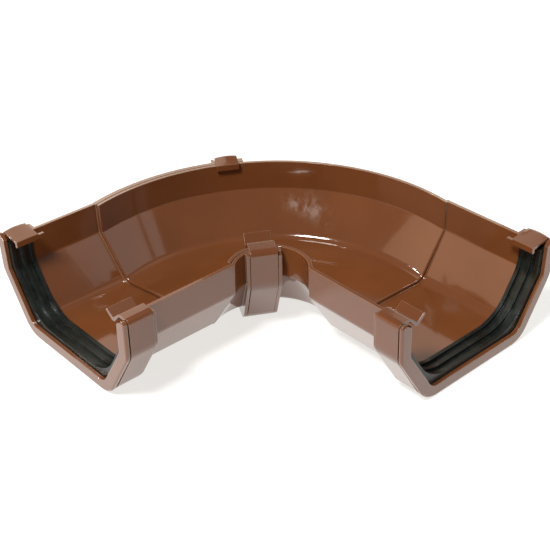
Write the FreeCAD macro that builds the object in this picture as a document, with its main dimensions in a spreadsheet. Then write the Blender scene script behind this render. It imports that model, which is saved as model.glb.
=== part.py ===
# Adjustable corner angle for a trapezoid rainwater gutter.
# Two channel halves swivel about an upright axis at the inner corner.
# Lengths are millimetres, bearings and sweeps are degrees.
# Each arm is drawn with across running away from the corner axis and up above the underside.
import FreeCAD, Part
import math
import os
import Sketcher

doc = FreeCAD.newDocument("gutter_angle")
sheet = doc.addObject("Spreadsheet::Sheet", "sizes")

SIZES = [
    # channel section, outside faces
    ("rim_width", 116.0),
    ("axis_to_front", 15.0),
    ("rim_height", 51.7),
    ("upper_wall", 20.4),
    ("slope_run", 20.3),
    ("wall_draft", 0.5),
    ("wall", 2.1),
    ("fold_radius", 3.0),
    ("foot_radius", 8.5),
    ("drop", 7.2),
    # plan of the arms
    ("arm_length", 94.0),
    ("seam_front_along", 13.0),
    ("seam_back_along", 30.5),
    ("right_seam_front_along", 16.3),
    ("right_seam_back_along", 18.6),
    ("seam_step", 0.25),
    ("layer_gap", 0.3),
    ("spigot_back_ease", 0.9),
    ("spigot_foot_ease", 1.8),
    ("jog_thick", 2.1),
    ("jog_round", 0.9),
    ("spigot_end_round", 0.9),
    # socket
    ("flange_thick", 3.0),
    ("mouth_wall", 2.4),
    ("flange_rise", 2.0),
    ("flange_top_radius", 1.8),
    ("flange_reach", 6.8),
    ("flange_drop", 7.2),
    ("flange_edge_radius", 1.3),
    ("flange_round", 6.5),
    ("socket_round", 6.5),
    ("mouth_ease", 1.9),
    ("lead_in_width", 4.2),
    ("lead_in_drop", 1.9),
    ("bulge_reach", 3.9),
    ("bulge_drop", 4.6),
    ("inner_rib_thick", 1.6),
    ("inner_rib_reach", 5.8),
    ("inner_rib_drop", 6.6),
    # seal in the socket
    ("seal_width", 15.2),
    ("seal_round", 19.0),
    ("bed_round", 3.0),
    ("seal_proud", 0.9),
    ("seal_bed", 2.2),
    ("seal_rib", 2.3),
    ("seal_groove_depth", 1.7),
    ("seal_below_rim", 3.0),
    # straps
    ("strap_width", 16.0),
    ("strap_side_gap", 0.4),
    ("seat_gap", 0.3),
    ("strap_thick", 2.3),
    ("clip_root", 4.0),
    ("clip_rise", 2.0),
    ("clip_back_rise", 3.3),
    ("clip_back_sag", 1.5),
    ("clip_back_trim", 1.3),
    ("lip_sag", 0.15),
    ("clip_over_gap", 0.35),
    ("clip_shoulder_radius", 3.6),
    ("clip_back_shoulder", 2.6),
    ("hook_flat_in", 2.4),
    ("hook_valley_in", 8.2),
    ("hook_valley_drop", 3.2),
    ("hook_under_drop", 5.2),
    ("flap_tip_in", 13.6),
    ("flap_tip_rise", 0.8),
    ("flap_tip_thick", 1.5),
    ("lip_in", 10.0),
    ("lip_top", 0.9),
    ("lip_drop", 3.3),
    ("lip_thick", 1.9),
    ("lip_tail", 2.8),
    # overlap at the corner
    ("strap_bearing", 150.4),
    ("centre_rib_thick", 2.0),
    ("centre_rib_reach", 4.0),
    ("centre_rib_drop", 6.4),
    ("rib_short", 2.0),
    ("centre_bulge_reach", 1.8),
    ("centre_bulge_drop", 4.2),
    ("chord_small", 2.6),
    ("chord_large", 1.5),
    ("centre_seal_width", 9.0),
    ("centre_bed", 1.4),
    ("centre_hook_extra", 2.6),
    ("centre_flap_rise", 1.6),
    ("centre_round", 10.0),
    ("centre_foot_round", 1.0),
    ("centre_lip_in", 6.0),
    ("centre_lip_top", 1.2),
    ("tool_size", 400.0),
]
for row, (alias, value) in enumerate(SIZES):
    sheet.set("A%d" % (row + 1), alias)
    sheet.set("B%d" % (row + 1), str(value))
    sheet.setAlias("B%d" % (row + 1), alias)
doc.recompute()
NAMES = [alias for alias, value in SIZES]
probe = doc.addObject("App::FeaturePython", "probe")
probe.addProperty("App::PropertyFloat", "Value")


def cell(text):
    """Turn the words of a formula into references to the sheet."""
    out = []
    word = ""
    for char in text + " ":
        if char.isalnum() or char == "_":
            word += char
            continue
        out.append("<<sizes>>." + word if word in NAMES else word)
        out.append(char)
        word = ""
    return "".join(out).strip()


def number(text):
    """Present value of a formula."""
    probe.setExpression("Value", cell(text))
    probe.recompute()
    return probe.Value


def plane_of(body, role):
    for feature in body.Origin.OriginFeatures:
        if feature.Role == role:
            return feature
    raise RuntimeError("no plane " + role)


def outline(body, name, points, role="XZ_Plane"):
    """Closed polygon with every corner bound to the sheet."""
    sketch = body.newObject("Sketcher::SketchObject", name)
    sketch.AttachmentSupport = [(plane_of(body, role), "")]
    sketch.MapMode = "FlatFace"
    spots = [FreeCAD.Vector(number(across), number(up), 0) for across, up in points]
    count = len(spots)
    for index in range(count):
        sketch.addGeometry(Part.LineSegment(spots[index], spots[(index + 1) % count]), False)
    for index in range(count):
        sketch.addConstraint(Sketcher.Constraint("Coincident", index, 2, (index + 1) % count, 1))
    for index, (across, up) in enumerate(points):
        spot = spots[index]
        made = sketch.addConstraint(Sketcher.Constraint("DistanceX", -1, 1, index, 1, spot.x))
        sketch.setExpression("Constraints[%d]" % made, cell(across))
        made = sketch.addConstraint(Sketcher.Constraint("DistanceY", -1, 1, index, 1, spot.y))
        sketch.setExpression("Constraints[%d]" % made, cell(up))
    return sketch


def section(reach, fall, top, kind="arm"):
    """Six corners of the channel, pushed out by reach at the walls and by fall at the floor.

    The kind arm gives distances across an arm. The others give radii round the corner axis,
    taken where the arm meets the bend. The kind chord stays clear of the bend's inner wall
    over the width of a straight strap, and the kind spigot is eased at its outer side."""
    rim_f = "axis_to_front"
    rim_b = "(axis_to_front + rim_width)"
    fold_f = "(axis_to_front + wall_draft)"
    fold_b = "(axis_to_front + rim_width - wall_draft)"
    foot_f = "(axis_to_front + slope_run)"
    foot_b = "(axis_to_front + rim_width - slope_run)"
    if kind != "arm":
        def turn(spot):
            along = ("(seam_front_along + (seam_back_along - seam_front_along)"
                     " * (%s - axis_to_front) / rim_width)" % spot)
            return "(sqrt(%s ^ 2 + %s ^ 2))" % (spot, along)
        rim_f, rim_b, fold_f, fold_b, foot_f, foot_b = [
            turn(spot) for spot in (rim_f, rim_b, fold_f, fold_b, foot_f, foot_b)]
    if kind == "chord":
        rim_f = "(%s - chord_small)" % rim_f
        fold_f = "(%s - chord_small)" % fold_f
        foot_f = "(%s - chord_large)" % foot_f
    if kind == "spigot":
        rim_b = "(%s - spigot_back_ease)" % rim_b
        fold_b = "(%s - spigot_back_ease)" % fold_b
        foot_b = "(%s - spigot_foot_ease)" % foot_b
    fold = "drop + rim_height - upper_wall - 0.28 * (%s)" % reach
    floor = "drop - (%s)" % fall
    crown = "drop + rim_height + (%s)" % top
    lean = "wall_draft * (%s) / upper_wall" % top
    return [
        ("%s - (%s) - %s" % (rim_f, reach, lean), crown),
        ("%s - (%s)" % (fold_f, reach), fold),
        ("%s - 0.56 * (%s)" % (foot_f, fall), floor),
        ("%s + 0.56 * (%s)" % (foot_b, fall), floor),
        ("%s + (%s)" % (fold_b, reach), fold),
        ("%s + (%s) + %s" % (rim_b, reach, lean), crown),
    ]


def edges_at(shape, spots, turned):
    """Long edges that run through the given corners of the outline."""
    found = []
    for index, edge in enumerate(shape.Edges):
        first = edge.FirstParameter
        span = edge.LastParameter - first
        points = [edge.valueAt(first + span * step / 4.0) for step in range(5)]
        for across, up in spots:
            good = True
            for point in points:
                place = math.hypot(point.x, point.y) if turned else point.x
                if abs(place - across) > 0.01 or abs(point.z - up) > 0.01:
                    good = False
            if good:
                found.append("Edge%d" % (index + 1))
                break
    return found


def end_edges(shape, below):
    """Edges of both end faces that lie lower than the given height."""
    low = shape.BoundBox.YMin
    high = shape.BoundBox.YMax
    found = []
    for index, edge in enumerate(shape.Edges):
        box = edge.BoundBox
        flat = box.YMax < low + 0.01 or box.YMin > high - 0.01
        if flat and (box.ZMin + box.ZMax) / 2 < below and edge.Length > 0.01:
            found.append("Edge%d" % (index + 1))
    return found


def soften(body, base, name, edges, radius):
    fillet = body.newObject("PartDesign::Fillet", name)
    fillet.Base = (base, edges)
    fillet.setExpression("Radius", cell(radius))
    body.Tip = fillet
    doc.recompute()
    return fillet


def rounded(body, base, name, points, rounds, turned=False):
    """Round the outline's corners. Each entry of rounds is a list of corners and a radius."""
    for turn, (corners, radius) in enumerate(rounds):
        spots = [(number(points[corner][0]), number(points[corner][1])) for corner in corners]
        base = soften(body, base, "%s_round_%d" % (name, turn),
                      edges_at(base.Shape, spots, turned), radius)
    return base


def place_along(body, side, start):
    """Stand an arm's solid on its own side, from start along the arm."""
    axis = FreeCAD.Vector(0, 0, 1)
    if side == "left":
        body.Placement.Rotation = FreeCAD.Rotation(axis, 180)
        body.setExpression("Placement.Base.y", cell("0 - (%s)" % start))
    else:
        body.Placement.Rotation = FreeCAD.Rotation(axis, 90)
        body.setExpression("Placement.Base.x", cell(start))


def place_across(body, start):
    """Stand a solid square to the strap's bearing, from start towards the right arm."""
    body.Placement.Rotation = FreeCAD.Rotation(FreeCAD.Vector(0, 0, 1), 90)
    body.setExpression("Placement.Rotation.Angle", cell("strap_bearing * 1 deg"))
    body.setExpression("Placement.Base.x", cell("(%s) * sin(strap_bearing * 1 deg)" % start))
    body.setExpression("Placement.Base.y", cell("(%s) * cos(strap_bearing * 1 deg) * -1" % start))


def stand(item, where, start):
    """Put a piece drawn across X on its arm, or on the strap's bearing for the centre."""
    if where == "centre":
        place_across(item, start)
    else:
        place_along(item, where, start)


def bar(name, where, points, start, length, rounds, ends=None, placed=True):
    """Outline pushed along an arm, or square to the strap's bearing for the centre."""
    body = doc.addObject("PartDesign::Body", name)
    sketch = outline(body, name + "_outline", points)
    pad = body.newObject("PartDesign::Pad", name + "_pad")
    pad.Profile = sketch
    pad.setExpression("Length", cell(length))
    pad.Reversed = where == "left"
    doc.recompute()
    last = rounded(body, pad, name, points, rounds)
    if ends is not None:
        edges = end_edges(last.Shape, last.Shape.BoundBox.ZMax - 0.05)
        last = soften(body, last, name + "_ends", edges, ends)
    if placed:
        stand(body, where, start)
    return body


def folds(extra, rims=None, foot=None):
    """Rounding of the wall folds and of the foot folds, made larger by extra and by foot."""
    wanted = [([1, 4], "fold_radius + (%s)" % extra),
              ([2, 3], "foot_radius + (%s)" % (foot or extra))]
    if rims is not None:
        wanted.append(([0, 5], rims))
    return wanted


def prism(name, where, reach, fall, top, start, length, extra="0", kind="arm", ends=None, rims=None,
          foot=None):
    """Filled channel section along an arm or across the bearing."""
    return bar(name, where, section(reach, fall, top, kind), start, length,
               folds(extra, rims, foot), ends)


def sweep(name, points, first, span, extra="0"):
    """Filled channel section turned about the corner axis from the bearing first."""
    body = doc.addObject("PartDesign::Body", name)
    sketch = outline(body, name + "_outline", points)
    turn = body.newObject("PartDesign::Revolution", name + "_turn")
    turn.Profile = sketch
    turn.ReferenceAxis = (sketch, ["V_Axis"])
    turn.Angle = span
    doc.recompute()
    if turn.Shape.BoundBox.YMax < 1.0:
        turn.Reversed = True
        doc.recompute()
    rounded(body, turn, name, points, folds(extra), True)
    body.Placement.Rotation = FreeCAD.Rotation(FreeCAD.Vector(0, 0, 1), first)
    return body


def cut(name, base, tool):
    made = doc.addObject("Part::Cut", name)
    made.Base = base
    made.Tool = tool
    return made


def fuse(name, shapes):
    made = doc.addObject("Part::MultiFuse", name)
    made.Shapes = shapes
    return made


def common(name, shapes):
    made = doc.addObject("Part::MultiCommon", name)
    made.Shapes = shapes
    return made


def seam_tool(name, side, front, back, beyond, thick="tool_size"):
    """Block beside a seam, on its corner side or beyond it towards the socket."""
    block = doc.addObject("Part::Box", name)
    block.setExpression("Length", cell("2 * tool_size"))
    block.setExpression("Width", cell(thick))
    block.setExpression("Height", cell("tool_size"))
    block.setExpression("Placement.Base.z", cell("0 - tool_size / 4"))
    slant = "atan((%s - %s) / rim_width)" % (back, front)
    middle = "(%s - axis_to_front / rim_width * (%s - %s))" % (front, back, front)
    shift = 1 if beyond else -1
    if side == "left":
        angle = "180 deg + " + slant if beyond else slant
        block.setExpression("Placement.Base.x", cell("%d * tool_size * cos(%s)" % (shift, slant)))
        block.setExpression("Placement.Base.y",
                            cell("%d * tool_size * sin(%s) - %s" % (shift, slant, middle)))
    else:
        angle = "-90 deg - " + slant if beyond else "90 deg - " + slant
        block.setExpression("Placement.Base.x",
                            cell("%s + %d * tool_size * sin(%s)" % (middle, shift, slant)))
        block.setExpression("Placement.Base.y", cell("%d * tool_size * cos(%s)" % (shift, slant)))
    block.setExpression("Placement.Rotation.Angle", cell(angle))
    return block


def bearing_block(name, first, last):
    """Block along the strap's bearing, between two offsets towards the right arm."""
    block = doc.addObject("Part::Box", name)
    block.setExpression("Length", cell("tool_size / 2"))
    block.setExpression("Width", cell("(%s) - (%s)" % (last, first)))
    block.setExpression("Height", cell("tool_size"))
    block.setExpression("Placement.Rotation.Angle", cell("strap_bearing * 1 deg"))
    block.setExpression("Placement.Base.x", cell("(%s) * sin(strap_bearing * 1 deg)" % last))
    block.setExpression("Placement.Base.y", cell("(%s) * cos(strap_bearing * 1 deg) * -1" % last))
    block.setExpression("Placement.Base.z", cell("0 - tool_size / 4"))
    return block


CHANNEL = "(strap_width + 2 * strap_side_gap)"
BED_START = "(arm_length - mouth_wall - seal_width)"
RIM = "drop + rim_height"
TOP = RIM + " + flange_rise"


def lead_in(side, part):
    """Wedge that slopes the mouth's top down to the inside, at the front or the back wall."""
    if part == "front":
        edge = "axis_to_front + wall - mouth_ease"
        points = [("%s - lead_in_width" % edge, TOP), ("%s + 1" % edge, RIM + " - lead_in_drop"),
                  ("%s + 1" % edge, TOP + " + 2"), ("%s - lead_in_width" % edge, TOP + " + 2")]
    else:
        edge = "axis_to_front + rim_width - wall + mouth_ease"
        points = [("%s + lead_in_width" % edge, TOP), ("%s - 1" % edge, RIM + " - lead_in_drop"),
                  ("%s - 1" % edge, TOP + " + 2"), ("%s + lead_in_width" % edge, TOP + " + 2")]
    return bar("%s_lead_in_%s" % (side, part), side, points,
               "arm_length - flange_thick", "flange_thick + 1", [])


def build_half(side, corner_shell, seam_front, seam_back, extra):
    """Straight arm with its socket, joined to the bend at the seam."""
    outer = prism(side + "_arm_outer", side, "0", "0", "0", "0", "arm_length", "wall")
    inner = prism(side + "_arm_inner", side, "0 - wall", "0 - wall", "10", "-10", "arm_length + 20")
    arm = cut(side + "_arm", outer, inner)
    away = seam_tool(side + "_seam_away", side, seam_front, seam_back, True)
    toward = seam_tool(side + "_seam_toward", side, seam_front, seam_back, False)
    straight = common(side + "_straight", [arm, away])
    flange = prism(side + "_flange", side, "flange_reach", "flange_drop", "flange_rise",
                   "arm_length - flange_thick", "flange_thick", "flange_round",
                   ends="flange_edge_radius", rims="flange_top_radius")
    bulge = prism(side + "_bulge", side, "bulge_reach", "bulge_drop", "0",
                  BED_START + " - wall", "seal_width + wall + mouth_wall / 2", "socket_round")
    rib = prism(side + "_inner_rib", side, "inner_rib_reach", "inner_rib_drop", "0",
                "arm_length - flange_thick - %s - inner_rib_thick" % CHANNEL,
                "inner_rib_thick", "socket_round")
    inside = prism(side + "_inside", side, "0 - wall", "0 - wall", "10", "arm_length - 40", "60")
    bed = prism(side + "_seal_bed", side, "seal_bed", "seal_bed", "10", BED_START, "seal_width",
                "bed_round")
    mouth = prism(side + "_mouth", side, "mouth_ease - wall", "mouth_ease - wall", "10",
                  "arm_length - flange_thick - 1", "flange_thick + 10")
    socket = cut(side + "_socket", fuse(side + "_socket_lump", [flange, bulge, rib]), inside)
    hollow = fuse(side + "_socket_hollow",
                  [bed, mouth, lead_in(side, "front"), lead_in(side, "back")])
    end = cut(side + "_end", fuse(side + "_end_whole", [straight, socket]), hollow)
    curve = common(side + "_curve", [corner_shell, toward])
    return fuse(side + "_half_raw", [end, curve] + extra)


# outer layer round the corner, a hair larger than the arm where they meet
outer_arc = sweep("outer_arc", section("seam_step", "seam_step", "0", "arc"), 100.0, 130.0,
                  "wall")
outer_arc_in = sweep("outer_arc_inner",
                     section("seam_step - wall", "seam_step - wall", "10", "spigot"), 98.0, 134.0)
HALF = "(strap_width / 2 + strap_side_gap + centre_rib_thick)"
centre_lump = prism("centre_lump", "centre", "centre_bulge_reach", "centre_bulge_drop", "0",
                    "0 - " + HALF, "2 * " + HALF, "wall + centre_round", "chord",
                     foot="wall + centre_foot_round")
centre_rib_a = prism("centre_rib_a", "centre", "centre_rib_reach", "centre_rib_drop", "0",
                     "0 - " + HALF, "centre_rib_thick", "wall + centre_round", "chord",
                     foot="wall + centre_foot_round")
centre_rib_b = prism("centre_rib_b", "centre", "centre_rib_reach", "centre_rib_drop", "0 - rib_short",
                     HALF + " - centre_rib_thick", "centre_rib_thick", "wall + centre_round", "chord",
                     foot="wall + centre_foot_round")
outer_solid = fuse("outer_solid", [outer_arc, centre_lump, centre_rib_a, centre_rib_b])
outer_layer = cut("outer_layer", outer_solid, outer_arc_in)
outer_trim = common("outer_layer_trimmed",
                    [outer_layer, bearing_block("overlap_block", "0 - tool_size", HALF)])
bed_sweep = sweep("centre_bed_sweep", section("centre_bed - wall", "centre_bed - wall", "10", "arc"),
                  98.0, 134.0)
centre_bed_space = common("centre_bed_space",
                          [bed_sweep, bearing_block("centre_bed_block", "0 - centre_seal_width / 2",
                                                    "centre_seal_width / 2")])
outer_bedded = cut("outer_layer_bedded", outer_trim, centre_bed_space)

# inner layer that slides inside the outer one
INSET = "0 - wall - layer_gap"
spigot_arc = sweep("spigot_arc", section(INSET, INSET, "0", "spigot"), 36.0, 192.0, "0")
spigot_arc_in = sweep("spigot_arc_inner",
                      section(INSET + " - wall", INSET + " - wall", "10", "spigot"),
                      34.0, 196.0, "0 - wall")
spigot = cut("spigot_layer", spigot_arc, spigot_arc_in)
spigot_stop = seam_tool("spigot_stop", "left", "seam_front_along", "seam_back_along", False)
spigot_cut = common("spigot_cut", [spigot, spigot_stop])
doc.recompute()


def inner_edges(shape, first, last, side, outer_shape, depth):
    """Edges on a seam's plane that lie deeper than depth inside the outer shape."""
    front, back, shift = number(first), number(last), number("axis_to_front")
    slant = (back - front) / number("rim_width")
    skin = Part.makeCompound(outer_shape.Faces)
    found = []
    for index, edge in enumerate(shape.Edges):
        span = edge.LastParameter - edge.FirstParameter
        points = [edge.valueAt(edge.FirstParameter + span * step / 4.0) for step in range(5)]
        good = True
        for point in points:
            along = 0 - point.y if side == "left" else point.x
            across = 0 - point.x if side == "left" else point.y
            if abs(along - front - slant * (across - shift)) > 0.02:
                good = False
        if good and skin.distToShape(Part.Vertex(points[2]))[0] > depth:
            found.append(index + 1)
    return found


def ease(name, base, edges, radius):
    made = doc.addObject("Part::Fillet", name)
    made.Base = base
    made.Edges = [(index, radius, radius) for index in edges]
    return made


spigot_trim = ease("spigot_trimmed", spigot_cut,
                   inner_edges(spigot_cut.Shape, "seam_front_along", "seam_back_along", "left",
                               spigot_arc.Shape, number("wall") * 0.8),
                   number("spigot_end_round"))

# wall that carries the step from the right arm up and in to the inner layer
step_block = prism("jog_outer", "right", "0", "0", "0", "0", "arm_length / 2", "wall")
step_slab = seam_tool("jog_slab", "right", "right_seam_front_along", "right_seam_back_along", True,
                      "jog_thick")
jog_cut = cut("jog_cut", common("jog_plate", [step_block, step_slab]), spigot_arc_in)
doc.recompute()
jog = ease("jog_wall", jog_cut,
           inner_edges(jog_cut.Shape, "right_seam_front_along + jog_thick / cos(atan("
                       "(right_seam_back_along - right_seam_front_along) / rim_width))",
                       "right_seam_back_along + jog_thick / cos(atan("
                       "(right_seam_back_along - right_seam_front_along) / rim_width))",
                       "right", step_block.Shape, number("wall") * 0.8),
           number("jog_round"))

left_raw = build_half("left", outer_bedded, "seam_front_along", "seam_back_along", [])
right_raw = build_half("right", spigot_trim, "right_seam_front_along", "right_seam_back_along", [jog])


def face_at(face, height, outward):
    """Distance of a drafted wall face from the axis at a height above the rim."""
    return "%s %s wall_draft * (%s) / upper_wall" % (face, outward, height)


def clip_front(name, where, rim, seat, start, extra, tip):
    """Rounded hook over the front rim with a flap that rises inwards."""
    out = "%s - (%s) - strap_thick" % (rim, seat)
    under = "%s - (%s)" % (rim, seat)
    points = [
        (face_at(out, "0 - clip_root", "-"), RIM + " - clip_root"),
        (face_at(out, "clip_rise", "-"), RIM + " + clip_rise"),
        ("%s + hook_flat_in + %s" % (rim, extra), RIM + " + clip_rise"),
        ("%s + hook_valley_in + %s" % (rim, extra), RIM + " - hook_valley_drop"),
        ("%s + flap_tip_in + %s" % (rim, extra), RIM + " + flap_tip_rise + " + tip),
        ("%s + flap_tip_in + 0.9 + %s" % (rim, extra),
         RIM + " + flap_tip_rise - flap_tip_thick + " + tip),
        ("%s + hook_valley_in + 1 + %s" % (rim, extra), RIM + " - hook_under_drop"),
        ("%s + hook_valley_in - 1.2 + %s" % (rim, extra), RIM + " - hook_under_drop + 0.3"),
        ("%s + wall + 0.4 + %s" % (rim, extra), RIM + " + clip_over_gap"),
        (face_at(under, "clip_over_gap", "-"), RIM + " + clip_over_gap"),
        (face_at(under, "0 - clip_root", "-"), RIM + " - clip_root"),
    ]
    return bar(name, where, points, start, "strap_width",
               [([1], "clip_shoulder_radius"), ([2], "1.8"), ([3], "1.4"), ([4, 5], "0.5")])


def arch_profile(name, middle, half, height, sag):
    """Upright section of the arched cap, drawn square to the across direction."""
    drawn = doc.addObject("Sketcher::SketchObject", name)
    width = number(half)
    crown = number(height)
    fall = number(sag)
    radius = (width * width + fall * fall) / (2 * fall)
    swing = math.asin(width / radius)
    corners = [(0 - width, -30.0), (width, -30.0), (width, crown - fall), (0 - width, crown - fall)]
    spots = [FreeCAD.Vector(x, y, 0) for x, y in corners]
    for first, last in ((3, 0), (0, 1), (1, 2)):
        drawn.addGeometry(Part.LineSegment(spots[first], spots[last]), False)
    ring = Part.Circle(FreeCAD.Vector(0, crown - radius, 0), FreeCAD.Vector(0, 0, 1), radius)
    drawn.addGeometry(Part.ArcOfCircle(ring, math.pi / 2 - swing, math.pi / 2 + swing), False)
    for pair in ((0, 2, 1, 1), (1, 2, 2, 1), (2, 2, 3, 1), (3, 2, 0, 1)):
        drawn.addConstraint(Sketcher.Constraint("Coincident", *pair))
    bound = [("DistanceX", 0, 2, "0 - (%s)" % half), ("DistanceY", 0, 2, "-30"),
             ("DistanceX", 1, 2, half), ("DistanceY", 1, 2, "-30"),
             ("DistanceX", 2, 2, half), ("DistanceY", 2, 2, "%s - (%s)" % (height, sag)),
             ("DistanceX", 3, 2, "0 - (%s)" % half), ("DistanceY", 3, 2, "%s - (%s)" % (height, sag))]
    for kind, line, end, text in bound:
        made = drawn.addConstraint(Sketcher.Constraint(kind, -1, 1, line, end, number(text)))
        drawn.setExpression("Constraints[%d]" % made, cell(text))
    made = drawn.addConstraint(Sketcher.Constraint("Radius", 3, radius))
    drawn.setExpression("Constraints[%d]" % made,
                        cell("((%s) ^ 2 + (%s) ^ 2) / (2 * (%s))" % (half, sag, sag)))
    drawn.Placement.Rotation = FreeCAD.Rotation(FreeCAD.Vector(0, 1, 0), FreeCAD.Vector(0, 0, 1),
                                                FreeCAD.Vector(1, 0, 0), "XYZ")
    drawn.setExpression("Placement.Base.y", cell(middle))
    return drawn


def clip_back(name, where, rim, seat, start, lip_in, lip_top):
    """Arched plate over the back rim with a straight lip that turns down inside."""
    out = "%s + (%s) + strap_thick" % (rim, seat)
    under = "%s + (%s)" % (rim, seat)
    inner = "(%s - %s)" % (rim, lip_in)
    clear = "wall + 0.5" if where != "centre" else "2 * wall + layer_gap + spigot_back_ease + 0.4"
    high = RIM + " + clip_back_rise + 4"
    points = [
        (face_at(out, "0 - clip_root", "+"), RIM + " - clip_root"),
        (face_at(out, "clip_back_rise + 4", "+"), high),
        (inner, high),
        (inner, RIM + " - lip_drop"),
        ("%s + lip_thick" % inner, RIM + " - lip_drop"),
        ("%s + lip_thick" % inner, RIM + " + %s - 1.9" % lip_top),
        ("%s - (%s)" % (rim, clear), RIM + " + clip_over_gap"),
        (face_at(under, "clip_over_gap", "+"), RIM + " + clip_over_gap"),
        (face_at(under, "0 - clip_root", "+"), RIM + " - clip_root"),
    ]
    block = bar(name + "_block", where, points, start, "strap_width - clip_back_trim",
                [([3, 4], "0.7")], placed=False)
    if where != "centre":
        block.setExpression("Placement.Base.y",
                            cell("clip_back_trim" if where == "left" else "0 - clip_back_trim"))
    along = "strap_width / 2" if where == "left" else "0 - strap_width / 2"
    half = "(strap_width / 2 + 1)"
    near = arch_profile(name + "_arch_out", along, half, RIM + " + clip_back_rise", "clip_back_sag")
    near.setExpression("Placement.Base.x", cell(out + " + 0.6"))
    far = arch_profile(name + "_arch_in", along, half, RIM + " + " + lip_top, "lip_sag")
    far.setExpression("Placement.Base.x", cell(inner + " - 0.01"))
    cap = doc.addObject("Part::Loft", name + "_cap")
    cap.Sections = [far, near]
    cap.Solid = True
    cap.Ruled = True
    capped = common(name + "_capped", [block, cap])
    doc.recompute()
    shoulder = []
    for index, edge in enumerate(capped.Shape.Edges):
        box = edge.BoundBox
        flat = abs(box.XMin - number(out)) < 0.4 and abs(box.XMax - number(out)) < 0.4
        if flat and box.ZMin > number(RIM) and box.YLength > number("strap_width - clip_back_trim") - 0.1:
            shoulder.append(index + 1)
    eased = ease(name + "_eased", capped, shoulder, number("clip_back_shoulder"))
    pieces = [eased]
    if where != "centre":
        tail = [(inner, RIM + " - lip_drop + 0.8"), ("%s + lip_thick" % inner, RIM + " - lip_drop + 0.8"),
                ("%s + lip_thick" % inner, RIM + " + %s - 0.8" % lip_top),
                (inner, RIM + " + %s - 0.8" % lip_top)]
        pieces.append(bar(name + "_tail", where, tail, start, "strap_width / 2 + lip_tail", [],
                          placed=False))
        back = "0 - lip_tail" if where == "left" else "lip_tail"
        pieces[1].setExpression("Placement.Base.y", cell(back))
    whole = doc.addObject("Part::Compound", name)
    whole.Links = [fuse(name + "_whole", pieces)] if len(pieces) > 1 else pieces
    stand(whole, where, start)
    return whole


def strap(where):
    """U band under the channel with a clip over each rim."""
    if where == "centre":
        start = "0 - strap_width / 2"
        seat = ("centre_bulge_reach + seat_gap", "centre_bulge_drop + seat_gap")
        rims = section("0", "0", "0", "chord")
        front = clip_front(where + "_clip_front", where, rims[0][0], seat[0], start,
                           "centre_hook_extra + chord_small", "centre_flap_rise")
        back = clip_back(where + "_clip_back", where, rims[5][0], seat[0], start,
                         "(centre_lip_in + wall)", "centre_lip_top")
        kind = "chord"
        round_in = "wall + centre_round + seat_gap"
        foot_in = "wall + centre_foot_round + seat_gap"
    else:
        start = "arm_length - flange_thick - strap_side_gap - strap_width"
        seat = ("bulge_reach + seat_gap", "bulge_drop + seat_gap")
        rims = section("0", "0", "0", "arm")
        front = clip_front(where + "_clip_front", where, rims[0][0], seat[0], start, "0", "0")
        back = clip_back(where + "_clip_back", where, rims[5][0], seat[0], start, "lip_in", "lip_top")
        kind = "arm"
        round_in = "socket_round + seat_gap"
        foot_in = round_in
    outer = prism(where + "_band_outer", where, seat[0] + " + strap_thick",
                  seat[1] + " + strap_thick", "0 - clip_root", start, "strap_width",
                  round_in + " + strap_thick", kind, foot=foot_in + " + strap_thick")
    under = prism(where + "_band_inner", where, seat[0], seat[1], "10",
                  start + " - 1", "strap_width + 2", round_in, kind, foot=foot_in)
    ring = cut(where + "_ring", outer, under)
    return fuse(where + "_strap_raw", [ring, front, back])


def seal(side):
    """Rubber band in the socket's bed with ribs along it."""
    start = BED_START + " + seat_gap"
    width = "(seal_width - 2 * seat_gap)"
    outer = prism(side + "_seal_outer", side, "seal_bed - seat_gap", "seal_bed - seat_gap",
                  "0 - seal_below_rim", start, width, "bed_round - seat_gap")
    inner = prism(side + "_seal_inner", side, "0 - wall - seal_proud", "0 - wall - seal_proud", "10",
                  start + " - 1", "seal_width + 2", "seal_round")
    band = cut(side + "_seal_band", outer, inner)
    grooves = []
    for turn in (0, 1):
        pitch = "(%s - seal_rib) / 2" % width
        grooves.append(prism("%s_seal_groove_%d" % (side, turn), side,
                             "seal_groove_depth - wall - seal_proud",
                             "seal_groove_depth - wall - seal_proud", "10",
                             "%s + %d * %s + seal_rib" % (start, turn, pitch),
                             "%s - seal_rib" % pitch, "seal_round"))
    return cut(side + "_seal_raw", band, fuse(side + "_seal_grooves", grooves))


def centre_seal():
    """Flat band between the two layers, seated in the outer one."""
    outer = sweep("centre_seal_outer",
                  section("centre_bed - wall - 0.15", "centre_bed - wall - 0.15",
                          "0 - seal_below_rim", "arc"),
                  98.0, 134.0, "0")
    inner = sweep("centre_seal_inner", section(INSET + " + 0.15", INSET + " + 0.15", "10", "arc"),
                  97.0, 136.0, "0")
    block = bearing_block("centre_seal_block", "0.2 - centre_seal_width / 2",
                          "centre_seal_width / 2 - 0.2")
    return common("centre_seal_raw", [cut("centre_seal_band", outer, inner), block])


raw = {
    "left_half": left_raw,
    "right_half": right_raw,
    "left_strap": strap("left"),
    "right_strap": strap("right"),
    "centre_strap": strap("centre"),
    "left_seal": seal("left"),
    "right_seal": seal("right"),
    "centre_seal": centre_seal(),
}
doc.recompute()

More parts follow.
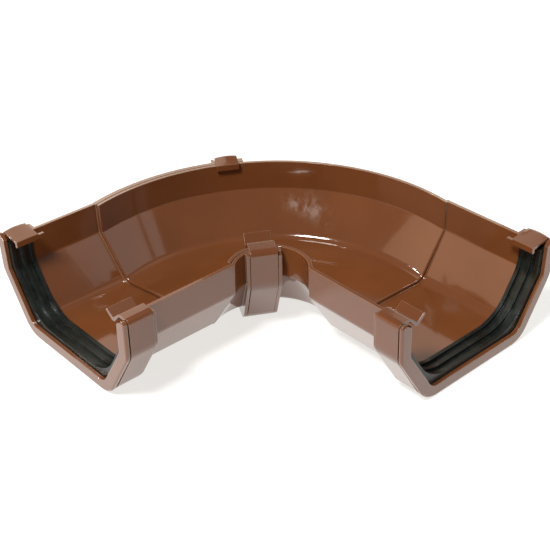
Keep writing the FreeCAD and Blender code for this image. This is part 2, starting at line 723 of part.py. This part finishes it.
os.makedirs("parts", exist_ok=True)
bad = []
for label, source in raw.items():
    node = doc.addObject("Part::Compound", label)
    node.Links = [source]
    node.Label = label
    shift = "(axis_to_front + rim_width + flange_reach - arm_length) / 2"
    node.setExpression("Placement.Base.x", cell(shift))
    node.setExpression("Placement.Base.y", cell("0 - " + shift))
    raw[label] = node
doc.recompute()
for item in doc.Objects:
    if "Invalid" in item.State or "Error" in item.State:
        bad.append((item.Name, item.State))
for label, node in raw.items():
    shape = node.Shape
    if shape.isNull() or not shape.isValid() or len(shape.Solids) != 1:
        bad.append((label, "shape"))
        continue
    shape.exportStep("parts/%s.step" % label)
if bad:
    raise RuntimeError("not sound: %s" % bad)
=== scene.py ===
import math

import bpy
from mathutils import Matrix, Vector

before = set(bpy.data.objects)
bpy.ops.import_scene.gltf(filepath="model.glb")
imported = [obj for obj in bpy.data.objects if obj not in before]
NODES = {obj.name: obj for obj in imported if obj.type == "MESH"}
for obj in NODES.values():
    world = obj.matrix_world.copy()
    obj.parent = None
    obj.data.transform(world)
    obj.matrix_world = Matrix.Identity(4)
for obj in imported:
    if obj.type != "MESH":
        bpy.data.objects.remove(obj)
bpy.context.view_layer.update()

CAMERA_BEARING = 48.891
CAMERA_HEIGHT = 32.883
CAMERA_ROLL = -0.02435
CAMERA_TARGET = Vector((0.030587, -0.025267, 0.058934))
CAMERA_DISTANCE = 0.61416
CAMERA_CLIP = (0.01, 50.0)
SENSOR_MM = 36.0
FOCAL_PX = 1105.118
IMAGE_PX = 550

LEFT_DEEP = (0.138, 0.0435, 0.0135, 1)
LEFT_WARM = (0.170, 0.0545, 0.0172, 1)
RIGHT_DEEP = (0.136, 0.0430, 0.0132, 1)
RIGHT_WARM = (0.167, 0.0535, 0.0168, 1)
STRAP_DEEP = (0.126, 0.0395, 0.0128, 1)
STRAP_WARM = (0.155, 0.0490, 0.0160, 1)
# Pale beige painted onto the eased edges of the plastic as a highlight.
PAINTED_EDGE_HIGHLIGHT = (0.44, 0.27, 0.165, 1)
PRINT_FILM = (0.42, 0.34, 0.28, 1)
HALF_SHINE = 0.07
STRAP_SHINE = 0.12
SHINE_SWING = 0.04

RUBBER_DEEP = (0.0045, 0.0068, 0.0055, 1.0)
RUBBER_BLOOM = (0.014, 0.019, 0.016, 1.0)
# Lighter grey painted onto the eased edges of the rubber as a highlight.
RUBBER_PAINTED_EDGE_HIGHLIGHT = (0.030, 0.037, 0.033, 1.0)

FLOOR_REACH = 6.0
FLOOR_DROP = 0.0002
FLOOR_DARK = (0.41, 0.41, 0.41, 1)
FLOOR_LIGHT = (0.44, 0.44, 0.44, 1)
FLOOR_GLOW_COLOUR = (1.0, 1.0, 0.97, 1.0)
FLOOR_GLOW = 0.72
SKY_COLOUR = (1.0, 0.99, 0.98, 1.0)
SKY_STRENGTH = 0.14

# Prints of handling on the slope inside the bend: a spot of the whole object at rest, and a radius.
PRINTS = (
    ((-0.060, 0.071, 0.033), 0.011),
    ((-0.050, 0.076, 0.031), 0.013),
    ((-0.037, 0.076, 0.027), 0.012),
)

# Panels of light round the object. The bearing is counted from the camera's own.
PANEL_AIM = Vector((0.0, 0.0, 0.03))
WARM = (1.0, 0.86, 0.72)
DAY = (1.0, 0.99, 0.97)
PANELS = (
    # name, bearing, height, reach, width, tall, glow, tint
    ("key", -36, 58, 2.0, 0.46, 0.38, 84.0, (1.0, 0.985, 0.96)),
    ("side_lamp", -102, 35, 1.6, 0.09, 0.09, 110.0, (1.0, 0.95, 0.88)),
    ("window_pane", 91, 21, 1.6, 0.70, 0.75, 0.60, DAY),
    ("window_side_pane", 71.5, 21, 1.6, 0.17, 0.75, 0.60, DAY),
    ("warm_wall", -88, 18, 1.6, 1.45, 0.60, 1.25, (1.0, 0.66, 0.44)),
    ("backdrop_low", 180, 23, 1.8, 2.4, 0.52, 1.6, (1.0, 0.90, 0.76)),
    ("backdrop_left", 204, 40, 1.8, 0.95, 0.75, 1.0, WARM),
    ("backdrop_right", 155, 38, 1.8, 0.75, 0.70, 0.7, WARM),
    ("side_fill", 108, 58, 1.9, 0.9, 0.5, 0.3, (1.0, 0.88, 0.74)),
)


def toward(bearing, height):
    """The unit vector that points from the object to a bearing and a height."""
    a, e = math.radians(bearing), math.radians(height)
    return Vector((math.sin(a) * math.cos(e), -math.cos(a) * math.cos(e), math.sin(e)))


# ---------------------------------------------------------------- materials

class Graph:
    """A small helper round one material's nodes."""

    def __init__(self, name):
        self.material = bpy.data.materials.new(name)
        self.material.use_nodes = True
        self.tree = self.material.node_tree
        self.tree.nodes.clear()
        self.out = self.tree.nodes.new("ShaderNodeOutputMaterial")
        self.shader = self.tree.nodes.new("ShaderNodeBsdfPrincipled")
        self.link(self.shader.outputs["BSDF"], self.out.inputs["Surface"])
        self.place = self.tree.nodes.new("ShaderNodeTexCoord").outputs["Object"]

    def link(self, a, b):
        self.tree.links.new(a, b)

    def node(self, kind, **values):
        """A new node with its sockets set. An underscore in a socket's name stands for a space."""
        node = self.tree.nodes.new(kind)
        for socket, value in values.items():
            node.inputs[socket.replace("_", " ")].default_value = value
        return node

    def surface(self, **values):
        """Sets the shader's own sockets, named in the same way."""
        for socket, value in values.items():
            self.shader.inputs[socket.replace("_", " ")].default_value = value

    def stretched(self, scale, turn=(0.0, 0.0, 0.0)):
        node = self.node("ShaderNodeMapping", Scale=scale, Rotation=turn)
        self.link(self.place, node.inputs["Vector"])
        return node.outputs["Vector"]

    def noise(self, scale, detail=2.0, rough=0.5, vector=None):
        node = self.node("ShaderNodeTexNoise", Scale=scale, Detail=detail, Roughness=rough)
        self.link(vector or self.place, node.inputs["Vector"])
        return node.outputs["Fac"]

    def spread(self, value, low, high, to_low=0.0, to_high=1.0):
        node = self.node("ShaderNodeMapRange", From_Min=low, From_Max=high, To_Min=to_low, To_Max=to_high)
        self.link(value, node.inputs["Value"])
        return node.outputs["Result"]

    def maths(self, kind, a, b):
        node = self.node("ShaderNodeMath")
        node.operation = kind
        for socket, value in zip(node.inputs, (a, b)):
            if isinstance(value, (int, float)):
                socket.default_value = value
            else:
                self.link(value, socket)
        return node.outputs["Value"]

    def share(self, value, amount):
        return self.maths("MULTIPLY", value, amount)

    def more(self, value, extra, amount):
        return self.maths("ADD", value, self.share(extra, amount))

    def colours(self, factor, a, b):
        node = self.node("ShaderNodeMix")
        node.data_type = "RGBA"
        mix, first, second, result = node.inputs[0], node.inputs[6], node.inputs[7], node.outputs[2]
        self.link(factor, mix)
        for socket, value in ((first, a), (second, b)):
            if isinstance(value, tuple):
                socket.default_value = value
            else:
                self.link(value, socket)
        return result

    def bump(self, height, distance, strength, normal):
        node = self.node("ShaderNodeBump", Distance=distance, Strength=strength)
        self.link(height, node.inputs["Height"])
        self.link(normal, node.inputs["Normal"])
        return node.outputs["Normal"]

    def eased(self, radius):
        """The surface's normal with its edges eased."""
        node = self.node("ShaderNodeBevel", Radius=radius)
        node.samples = 6
        return node.outputs["Normal"]

    def near(self, spot, radius):
        """1 at a spot of the piece and falling to 0 at the radius."""
        node = self.node("ShaderNodeVectorMath")
        node.operation = "DISTANCE"
        self.link(self.place, node.inputs[0])
        node.inputs[1].default_value = spot
        return self.spread(node.outputs["Value"], 0.25 * radius, radius, 1.0, 0.0)

    def edges(self, normal):
        """0 on a flat place and rising to 1 on an edge."""
        geometry = self.node("ShaderNodeNewGeometry")
        dot = self.node("ShaderNodeVectorMath")
        dot.operation = "DOT_PRODUCT"
        self.link(normal, dot.inputs[0])
        self.link(geometry.outputs["Normal"], dot.inputs[1])
        return self.spread(dot.outputs["Value"], 0.995, 0.75)

    def finish(self, colour, rough, normal):
        self.link(colour, self.shader.inputs["Base Color"])
        self.link(rough, self.shader.inputs["Roughness"])
        self.link(normal, self.shader.inputs["Normal"])
        return self.material


def plastic(name, deep, warm, shine, marks=()):
    """Glossy moulded brown plastic: flow clouds, faint ripple, hair scratches, dust and a painted
    highlight that makes the eased edges paler.
    Marks are dull prints of handling, each a spot of the piece and a radius."""
    g = Graph(name)
    g.surface(IOR=1.54, Specular_IOR_Level=0.5, Coat_Weight=0.55, Coat_Roughness=0.02)
    eased = g.eased(radius=0.0007)
    clouds = g.noise(21.0, detail=3.0, rough=0.55)
    drift = g.noise(9.0, vector=g.stretched((1.0, 1.0, 3.0)))
    colour = g.colours(g.spread(clouds, 0.3, 0.7), deep, warm)
    # Painted highlight: the eased edges are mixed towards pale beige, standing in for the light that they
    # catch.
    colour = g.colours(g.share(g.edges(eased), 0.60), colour, PAINTED_EDGE_HIGHLIGHT)

    scratch_a = g.noise(60.0, detail=3.0, rough=0.6, vector=g.stretched((1.0, 14.0, 9.0), (0.2, 0.1, 0.5)))
    scratch_b = g.noise(55.0, detail=3.0, rough=0.6, vector=g.stretched((15.0, 1.0, 8.0), (0.1, 0.3, 0.2)))
    hair = g.maths("MAXIMUM", g.spread(scratch_a, 0.64, 0.74), g.spread(scratch_b, 0.66, 0.76))
    dust = g.spread(g.noise(420.0, rough=0.7), 0.66, 0.8)
    rough = g.spread(drift, 0.3, 0.7, shine, shine + SHINE_SWING)
    rough = g.more(rough, hair, 0.10)
    rough = g.more(rough, dust, 0.10)
    for spot, radius in marks:
        smear = g.noise(95.0, detail=4.0, rough=0.65, vector=g.stretched((1.0, 1.0, 0.45)))
        mark = g.maths("MULTIPLY", g.spread(smear, 0.46, 0.60), g.near(spot, radius))
        rough = g.more(rough, mark, 0.20)
        colour = g.colours(g.share(mark, 0.10), colour, PRINT_FILM)

    ripple = g.bump(g.noise(70.0, rough=0.4), distance=0.0006, strength=0.10, normal=eased)
    grain = g.bump(g.noise(1300.0), distance=0.00004, strength=0.22, normal=ripple)
    return g.finish(colour, rough, grain)


def rubber(name):
    """Black extruded rubber with a soft bloom, a fine drawn grain and a painted highlight on its eased
    edges.
    """
    g = Graph(name)
    g.surface(IOR=1.52, Specular_IOR_Level=0.42)
    eased = g.eased(radius=0.0003)
    bloom = g.noise(130.0, detail=4.0, rough=0.65)
    colour = g.colours(g.spread(bloom, 0.42, 0.72), RUBBER_DEEP, RUBBER_BLOOM)
    # Painted highlight: the eased edges are mixed towards a lighter grey.
    colour = g.colours(g.share(g.edges(eased), 0.5), colour, RUBBER_PAINTED_EDGE_HIGHLIGHT)
    rough = g.spread(g.noise(260.0, detail=3.0, rough=0.6), 0.3, 0.7, 0.26, 0.40)
    drawn = g.bump(g.noise(900.0, detail=3.0, rough=0.6), distance=0.00008, strength=0.5, normal=eased)
    return g.finish(colour, rough, drawn)


def on_piece(name, place):
    """A place of the whole object in a piece's own axes."""
    return NODES[name].matrix_world.inverted() @ Vector(place)


def dress(name, material):
    mesh = NODES[name].data
    if not mesh.materials:
        mesh.materials.append(material)
    for index in range(len(mesh.materials)):
        mesh.materials[index] = material


def dress_all():
    marks = [(on_piece("right_half", place), radius) for place, radius in PRINTS]
    left = plastic("plastic_left_half", LEFT_DEEP, LEFT_WARM, HALF_SHINE)
    right = plastic("plastic_right_half", RIGHT_DEEP, RIGHT_WARM, HALF_SHINE, marks)
    strap = plastic("plastic_straps", STRAP_DEEP, STRAP_WARM, STRAP_SHINE)
    seal = rubber("rubber_seals")
    halves = {"left_half": left, "right_half": right}
    for name in NODES:
        if name in halves:
            dress(name, halves[name])
        elif name.endswith("_strap"):
            dress(name, strap)
        else:
            dress(name, seal)


# ---------------------------------------------------------------- floor and light

def floor():
    """A wide pale floor just under the object. A low glow keeps it white."""
    mesh = bpy.data.meshes.new("floor")
    reach = FLOOR_REACH
    corners = [(-reach, -reach, 0), (reach, -reach, 0), (reach, reach, 0), (-reach, reach, 0)]
    mesh.from_pydata(corners, [], [(0, 1, 2, 3)])
    ob = bpy.data.objects.new("floor", mesh)
    ob.location = (0.0, 0.0, -FLOOR_DROP)
    bpy.context.scene.collection.objects.link(ob)
    g = Graph("pale_floor")
    g.surface(Specular_IOR_Level=0.25, Roughness=0.6, Emission_Color=FLOOR_GLOW_COLOUR,
              Emission_Strength=FLOOR_GLOW)
    tone = g.colours(g.spread(g.noise(3.0), 0.3, 0.7), FLOOR_DARK, FLOOR_LIGHT)
    g.link(tone, g.shader.inputs["Base Color"])
    mesh.materials.append(g.material)


def sky():
    world = bpy.data.worlds.new("studio")
    bpy.context.scene.world = world
    world.use_nodes = True
    background = world.node_tree.nodes["Background"]
    background.inputs["Color"].default_value = SKY_COLOUR
    background.inputs["Strength"].default_value = SKY_STRENGTH


def panel(name, bearing, height, reach, width, tall, glow, tint):
    """A soft panel that faces the object. Its glow is its brightness, whatever its size."""
    away = toward(CAMERA_BEARING + bearing, height)
    data = bpy.data.lights.new(name, "AREA")
    data.shape = "RECTANGLE"
    data.size, data.size_y = width, tall
    data.energy = glow * math.pi * width * tall
    data.color = tint
    ob = bpy.data.objects.new(name, data)
    ob.location = PANEL_AIM + away * reach
    ob.rotation_mode = "QUATERNION"
    ob.rotation_quaternion = away.to_track_quat("Z", "Y")
    bpy.context.scene.collection.objects.link(ob)


# ---------------------------------------------------------------- camera

def camera():
    back = toward(CAMERA_BEARING, CAMERA_HEIGHT)
    level = toward(CAMERA_BEARING + 90.0, 0.0)
    up = back.cross(level)
    across = level * math.cos(CAMERA_ROLL) + up * math.sin(CAMERA_ROLL)
    upward = up * math.cos(CAMERA_ROLL) - level * math.sin(CAMERA_ROLL)
    data = bpy.data.cameras.new("camera")
    data.sensor_width = SENSOR_MM
    data.lens = FOCAL_PX / IMAGE_PX * SENSOR_MM
    data.clip_start, data.clip_end = CAMERA_CLIP
    ob = bpy.data.objects.new("camera", data)
    turn = Matrix((across, upward, back)).transposed()
    ob.matrix_world = Matrix.Translation(CAMERA_TARGET + back * CAMERA_DISTANCE) @ turn.to_4x4()
    bpy.context.scene.collection.objects.link(ob)
    bpy.context.scene.camera = ob


dress_all()
floor()
sky()
for row in PANELS:
    panel(*row)
camera()
bpy.context.scene.view_settings.view_transform = "Standard"

bpy.context.view_layer.update()
